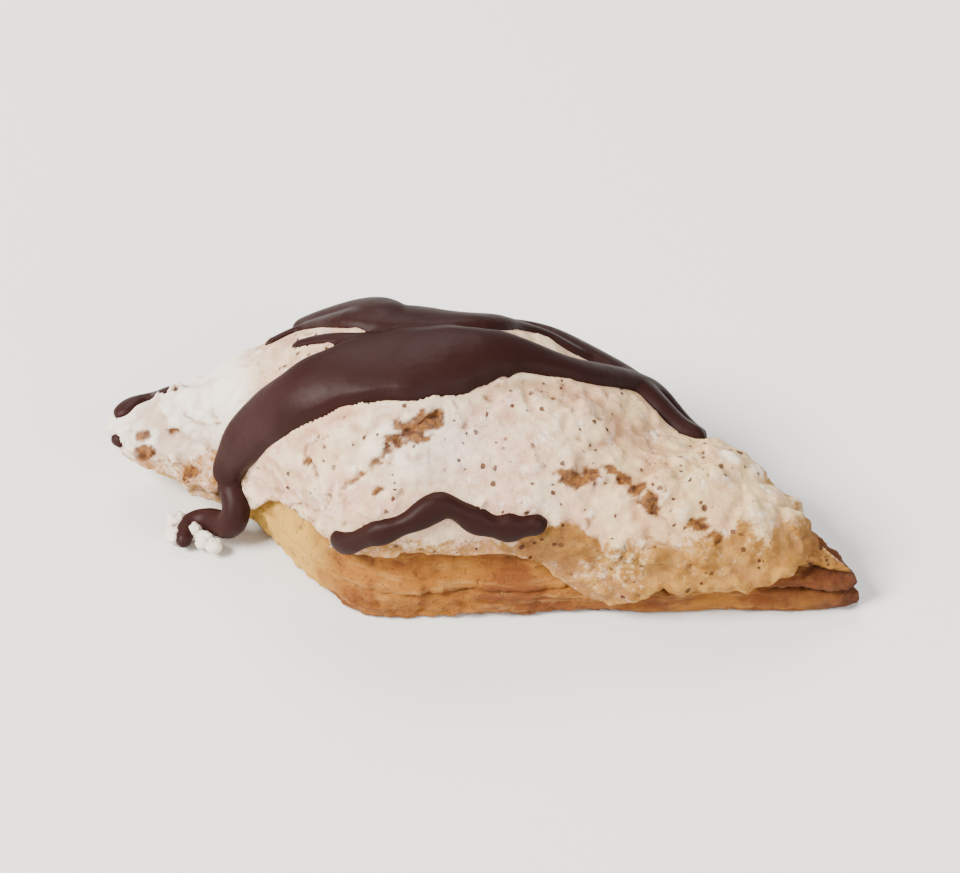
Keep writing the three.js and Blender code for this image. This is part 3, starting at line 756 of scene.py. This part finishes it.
def away_from_line(x, up, line):
    """The distance in mm from a place of the tilted view to a line of places in it."""
    here, nearest = Vector((x, up)), math.inf
    for start, end in zip(line, line[1:]):
        start, run = Vector(start), Vector(end) - Vector(start)
        share = min(1, max(0, (here - start).dot(run) / run.length_squared))
        nearest = min(nearest, (here - start - run * share).length)
    return nearest


def lumps(place, size, seed, soft):
    """1 on lumps `size` mm across, down to 0 in the creases between them."""
    near, after, _ = grains(place, size, seed)
    return float(smoothstep(after - near, 0, soft))


def crag_height(p):
    """The crust's relief in mm at a place in mm: lumps with creases between, and grain."""
    facet = lumps(p + 1.4 * noise.noise_vector(p / 5), 6.5, 22.6, 0.3) * float(smoothstep(p.x, 8, 18))
    coarse = lumps(p + 1.8 * noise.noise_vector(p / 3.6), 4.2, 4.1, 0.5)
    crag = (0.55 + 0.45 * wave(p, 7, 40)) * coarse
    crumb = lumps(p + 0.8 * noise.noise_vector(p / 1.4), 1.9, 8.7, 0.5)
    height = RELIEF["swell"] * wave(p, 9, 1.2) + RELIEF["crag"] * crag + RELIEF["facet"] * facet
    return height + RELIEF["crumb"] * crumb + RELIEF["grit"] * wave(p, 0.8, 2.2) - RELIEF["level"]


def toasted_spots(x, up, ragged, finer):
    """How toasted the front is at a place of the tilted view, and how deep in the ochre crack."""
    toast = 0.0
    for spot_x, spot_up, reach in TOASTED:
        away = math.hypot(x - spot_x, (up - spot_up) * 1.25) / reach
        if away < 2.4:
            toast = max(toast, float(smoothstep(1.25 + 0.7 * ragged + 0.4 * finer - away, 0, 0.45)))
    groove = float(smoothstep(0.5 + 0.6 * ragged + 0.5 * finer - away_from_line(x, up, CRACK), 0, 0.6))
    return max(toast, 0.8 * groove), groove


def golden_places(p, x, up):
    """How thin and golden the front's icing is at a place in mm, and how much it is toasted there.

    It is so low on the right, on the apron over the dough's edge, on the sill under the
    squiggle, on the spur at its right end, and at the right tip, where the gold and the
    browning are partly painted shadow.
    """
    low_right_top = 10.2 + 0.22 * max(0, x - 19) + 2.4 * wave(p, 2.5, 21)
    low_right = float(smoothstep(x, 9, 19)) * float(smoothstep(low_right_top - up, 0, 4.2))
    apron = 0.85 * float(smoothstep(7.2 + 2.4 * wave(p, 2, 26) - up, 0, 3.5))
    sill_top = 9.4 + 1.6 * wave(p, 1.4, 61)
    sill = 0.75 * float(smoothstep(x, -17, -12)) * float(smoothstep(sill_top - up, 0, 1.8))
    from_spur = math.hypot((x - 7.8) * 0.62, (up - 7.9) * 1.3)
    spur = float(smoothstep(3.9 + 1.4 * wave(p, 1.5, 5) - from_spur, 0, 1.5))
    # At the right tip the icing is made golden and toasted partly as painted shadow.
    tip = float(smoothstep(x + wave(p, 2, 44), 31, 34))
    return max(low_right, apron, sill, spur, tip), max(0.5 * spur, 0.6 * tip)


def crust_marks(p, facing_back):
    """Relief in mm, browning, thinness and whiteness of the crust at a place in mm."""
    x, up = seen_from_front(p)
    ragged, finer = wave(p, 0.9, 9), wave(p, 0.4, 17)
    near, _, own = grains(p + 0.5 * noise.noise_vector(p), 2.4, 15.3)
    pit = float(smoothstep(0.24 + 0.1 * finer - near, 0, 0.14)) if own > 0.35 else 0
    crack = 1 - float(smoothstep(abs(wave(p, 6.5, 3.3) + 0.2 * wave(p, 1.6, 5)), 0, 0.03))
    crack *= float(smoothstep(wave(p, 9, 12.4), 0.1, 0.35))
    toast = 0.6 * crack * float(smoothstep(wave(p, 4, 31), 0, 0.3))
    if not facing_back:
        spots, groove = toasted_spots(x, up, ragged, finer)
        toast, crack = max(toast, spots), max(crack, groove)
    height = crag_height(p) - HOLLOWS["pit"] * pit - HOLLOWS["crack"] * crack - HOLLOWS["toast"] * toast
    white = 0.7 * float(smoothstep(height, 0.2, 0.55))
    to_rim = rim_tree.find(p * MM)[2] / MM
    height += 0.25 * wave(p, 1.4, 51) * (1 - float(smoothstep(to_rim, 0.4, 1.6)))
    thin = 0.75 * float(smoothstep(1.9 + 1.3 * ragged - to_rim, 0, 1.6))
    flap = float(smoothstep(-x + 0.6 * wave(p, 3, 14), 22, 25.5))
    low_flap = 0.0
    if not facing_back:
        golden, browned_and_tip_shadow = golden_places(p, x, up)
        thin, toast = max(thin, golden), max(toast, browned_and_tip_shadow)
        fair = float(smoothstep(5.5 - math.hypot((x + 6) * 0.55, up - 18.5), 0, 4))
        white = max(white, 0.6 * fair)
        low_flap = flap * float(smoothstep(19.5 + 3 * wave(p, 2.2, 33) - up, 0, 5))
    thin = max(thin * (1 - 0.8 * flap), 0.7 * low_flap)
    return height, toast, thin, max(white, (1 - 0.7 * low_flap) * flap)


def bake_crust(piece):
    """Moves the coat's outer side by the crust's relief, and stores its marks for the material."""
    places, normals = places_and_normals(piece)
    rows = []
    for place, normal in zip(places, normals):
        depth = depth_over_skin(place)
        place, normal = Vector(place), Vector(normal)
        at_rim = rim_tree.find(place)[2] < RIM_MARKED
        if depth < INNER_SIDE and not at_rim:
            rows.append((0, 0, 0, 0))
            continue
        height, *marks = crust_marks(place / MM, normal.y > BACK_FACES)
        beside = beside_drizzle(place)
        height = height * beside - 0.15 * (1 - beside)
        height = min(height, highest_by_drizzle(place, normal))
        rows.append((height * float(smoothstep(depth, 0.3 * MM, 0.8 * MM)), *marks))
    heights, toast, thin, white = np.array(rows).T
    move_along_normals(piece, heights)
    for name, values in (("relief", heights), ("toast", toast), ("thin", thin), ("white", white)):
        keep_on_surface(piece, name, values)


add_nubs(icing)
grid_anew(icing, ICING_VOXEL, 2)
bake_crust(icing)


def drip_crumbs():
    """The crumbs as uneven balls, each stuck to the drip or to the one before."""
    body = bmesh.new()
    for x, y, z, radius in DRIP_CRUMBS:
        middle = Vector((x, y, z)) * MM + SHIFT
        ball = Matrix.Translation(middle) @ Matrix.Scale(radius * MM, 4)
        for vertex in bmesh.ops.create_icosphere(body, subdivisions=4, radius=1, matrix=ball)["verts"]:
            out = (vertex.co - middle).normalized()
            p = vertex.co / MM
            vertex.co += out * MM * (0.3 * wave(p, 0.9, 3) + 0.12 * wave(p, 0.35, 6) - 0.12)
    for face in body.faces:
        face.smooth = True
    mesh = bpy.data.meshes.new("drip_crumbs")
    body.to_mesh(mesh)
    body.free()
    piece = bpy.data.objects.new("drip_crumbs", mesh)
    bpy.context.scene.collection.objects.link(piece)
    return piece


crumbs = drip_crumbs()
keep_on_surface(crumbs, "white", [0.85] * len(crumbs.data.vertices))


def pinholes(n, where, cell_scale, wide, kept):
    """Dark holes in the middle of some cells: how wide in cells, and the share of cells without one."""
    cells = n.add("ShaderNodeTexVoronoi", {"Vector": where, "Scale": cell_scale}, feature="F1")
    own = n.add("ShaderNodeSeparateColor", {"Color": cells.outputs["Color"]})
    reach = n.add("ShaderNodeMapRange", {"Value": own.outputs["Green"], "To Min": 0.3 * wide, "To Max": wide})
    inside = n.maths("SUBTRACT", reach.outputs["Result"], cells.outputs["Distance"])
    return n.times(n.ramp(inside, 0.0, 0.1), n.ramp(own.outputs["Red"], kept, kept + 0.04))


def baked_icing():
    ivory, warm_ivory = colour(228, 201, 166), colour(220, 187, 136)
    rose, warm_rose = colour(214, 170, 142), colour(206, 164, 120)
    sugar_white, sandy = colour(241, 228, 211), colour(198, 152, 112)
    gold, light_gold = colour(140, 90, 20), colour(168, 120, 44)
    painted_hollow_shade, toast_brown, burnt = colour(160, 112, 68), colour(122, 73, 18), colour(72, 33, 6)
    hole_brown = colour(80, 40, 20)
    material, n, shader = new_material("baked_icing")
    where = n.add("ShaderNodeTexCoord").outputs["Object"]
    names = ("relief", "toast", "thin", "white")
    read = {name: n.add("ShaderNodeAttribute", attribute_name=name).outputs["Fac"] for name in names}
    along = n.add("ShaderNodeSeparateXYZ", {"Vector": where}).outputs["X"]
    to_right = n.ramp(along, 0.002, 0.02)
    crust = n.mix(to_right, ivory, warm_ivory)
    blushed = n.mix(to_right, rose, warm_rose)
    tone = n.mix(n.patches(where, 210, 4, 0.65, 0.42, 0.6), crust, blushed)
    whitened = n.maths("MAXIMUM", read["white"], n.times(n.patches(where, 430, 4, 0.7, 0.55, 0.67), 0.7))
    tone = n.mix(whitened, tone, sugar_white)
    sand = n.times(n.patches(where, 1100, 4, 0.75, 0.52, 0.68), n.times(n.ramp(read["white"], 1.1, 0.4), 0.5))
    tone = n.mix(sand, tone, sandy)
    golden = n.mix(n.patches(where, 600, 4, 0.7, 0.4, 0.6), gold, light_gold)
    uneven = n.maths("SUBTRACT", n.noise(where, 1100, 5, 0.8), 0.5)
    bare = n.ramp(n.maths("ADD", read["thin"], n.times(uneven, 2.4)), 0.3, 0.9)
    tone = n.mix(n.times(bare, 0.95), tone, golden)
    # Painted shade: darker in the hollows of the crust's relief, where shade falls.
    tone = n.mix(n.times(n.ramp(read["relief"], 0.0, -0.6), 0.7), tone, painted_hollow_shade)
    browned_and_tip_shadow = n.mix(n.patches(where, 1300, 4, 0.7, 0.42, 0.58), toast_brown, burnt)
    tone = n.mix(n.times(read["toast"], 0.94), tone, browned_and_tip_shadow)
    jolt = n.add("ShaderNodeTexNoise", {"Vector": where, "Scale": 1400.0, "Detail": 2.0}).outputs["Color"]
    nudge = n.add("ShaderNodeVectorMath", {0: jolt, 1: (0.0006, 0.0006, 0.0006)}, operation="MULTIPLY")
    moved = n.add("ShaderNodeVectorMath", {0: where, 1: nudge.outputs[0]}, operation="ADD").outputs[0]
    both = n.maths("MAXIMUM", pinholes(n, moved, 1000, 0.32, 0.46), pinholes(n, moved, 560, 0.24, 0.68))
    clusters = n.times(n.patches(where, 170, 2, 0.5, 0.36, 0.5), n.ramp(read["white"], 0.95, 0.5))
    holes = n.times(both, clusters)
    n.put(shader.inputs["Base Color"], n.mix(n.times(holes, 0.92), tone, hole_brown))
    shader.inputs["Roughness"].default_value = 0.8
    shader.inputs["Specular IOR Level"].default_value = 0.25
    shader.inputs["Subsurface Weight"].default_value = 0.1
    shader.inputs["Subsurface Radius"].default_value = (1.0, 0.7, 0.5)
    shader.inputs["Subsurface Scale"].default_value = 0.0012
    n.put(shader.inputs["Normal"], n.bump(holes, -0.0004, n.grain(where, 2000, 6, 0.75, 0.0003)))
    return material


icing_material = baked_icing()
for piece in (icing, crumbs):
    piece.data.materials.append(icing_material)
    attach(piece, "root")
    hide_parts("icing")

# ---- The table, the light and the camera -----------------------------------------
# A plain pale table under a large soft lamp from the left, a weaker one from the
# right, one from behind and an even pale surround.

deselect_all()
bpy.ops.mesh.primitive_plane_add(size=3)
table = bpy.context.object
table.name = "table"
table_material, _, table_shader = new_material("pale_table")
table_shader.inputs["Base Color"].default_value = colour(222, 219, 214)
table_shader.inputs["Roughness"].default_value = 0.8
table.data.materials.append(table_material)


MIDDLE = Vector((0, 0, 0.01))  # of the cookie


def soft_lamp(name, place, size, power, tint):
    """A square lamp, in metres and watts, aimed at the cookie."""
    deselect_all()
    bpy.ops.object.light_add(type="AREA", location=place)
    lamp = bpy.context.object
    lamp.name = name
    lamp.data.size = size
    lamp.data.energy = power
    lamp.data.color = tint
    lamp.rotation_euler = (MIDDLE - Vector(place)).to_track_quat("-Z", "Y").to_euler()


soft_lamp("key_lamp", (-0.65, -0.3, 0.7), 0.4, 34, (1.0, 0.97, 0.93))
soft_lamp("fill_lamp", (0.5, -0.6, 0.45), 0.6, 7, (1.0, 1.0, 1.0))
soft_lamp("back_lamp", (-0.1, 0.7, 0.8), 0.5, 9, (1.0, 1.0, 1.0))
surround = bpy.data.worlds.new("surround")
surround.use_nodes = True
background = surround.node_tree.nodes["Background"]
background.inputs["Color"].default_value = (0.9, 0.93, 1.0, 1.0)
background.inputs["Strength"].default_value = 0.5
bpy.context.scene.world = surround

VIEW_AWAY = 0.95  # metres
VIEW_WIDE = 0.098  # metres across the frame at the cookie
AIM = Vector((0, 0, 0.011))
deselect_all()
_, towards_eye = eye_of("front")
bpy.ops.object.camera_add(location=AIM + towards_eye * VIEW_AWAY)
camera = bpy.context.object
camera.name = "camera"
camera.rotation_euler = (-towards_eye).to_track_quat("-Z", "Y").to_euler()
camera.data.lens = camera.data.sensor_width * VIEW_AWAY / VIEW_WIDE
bpy.context.scene.camera = camera
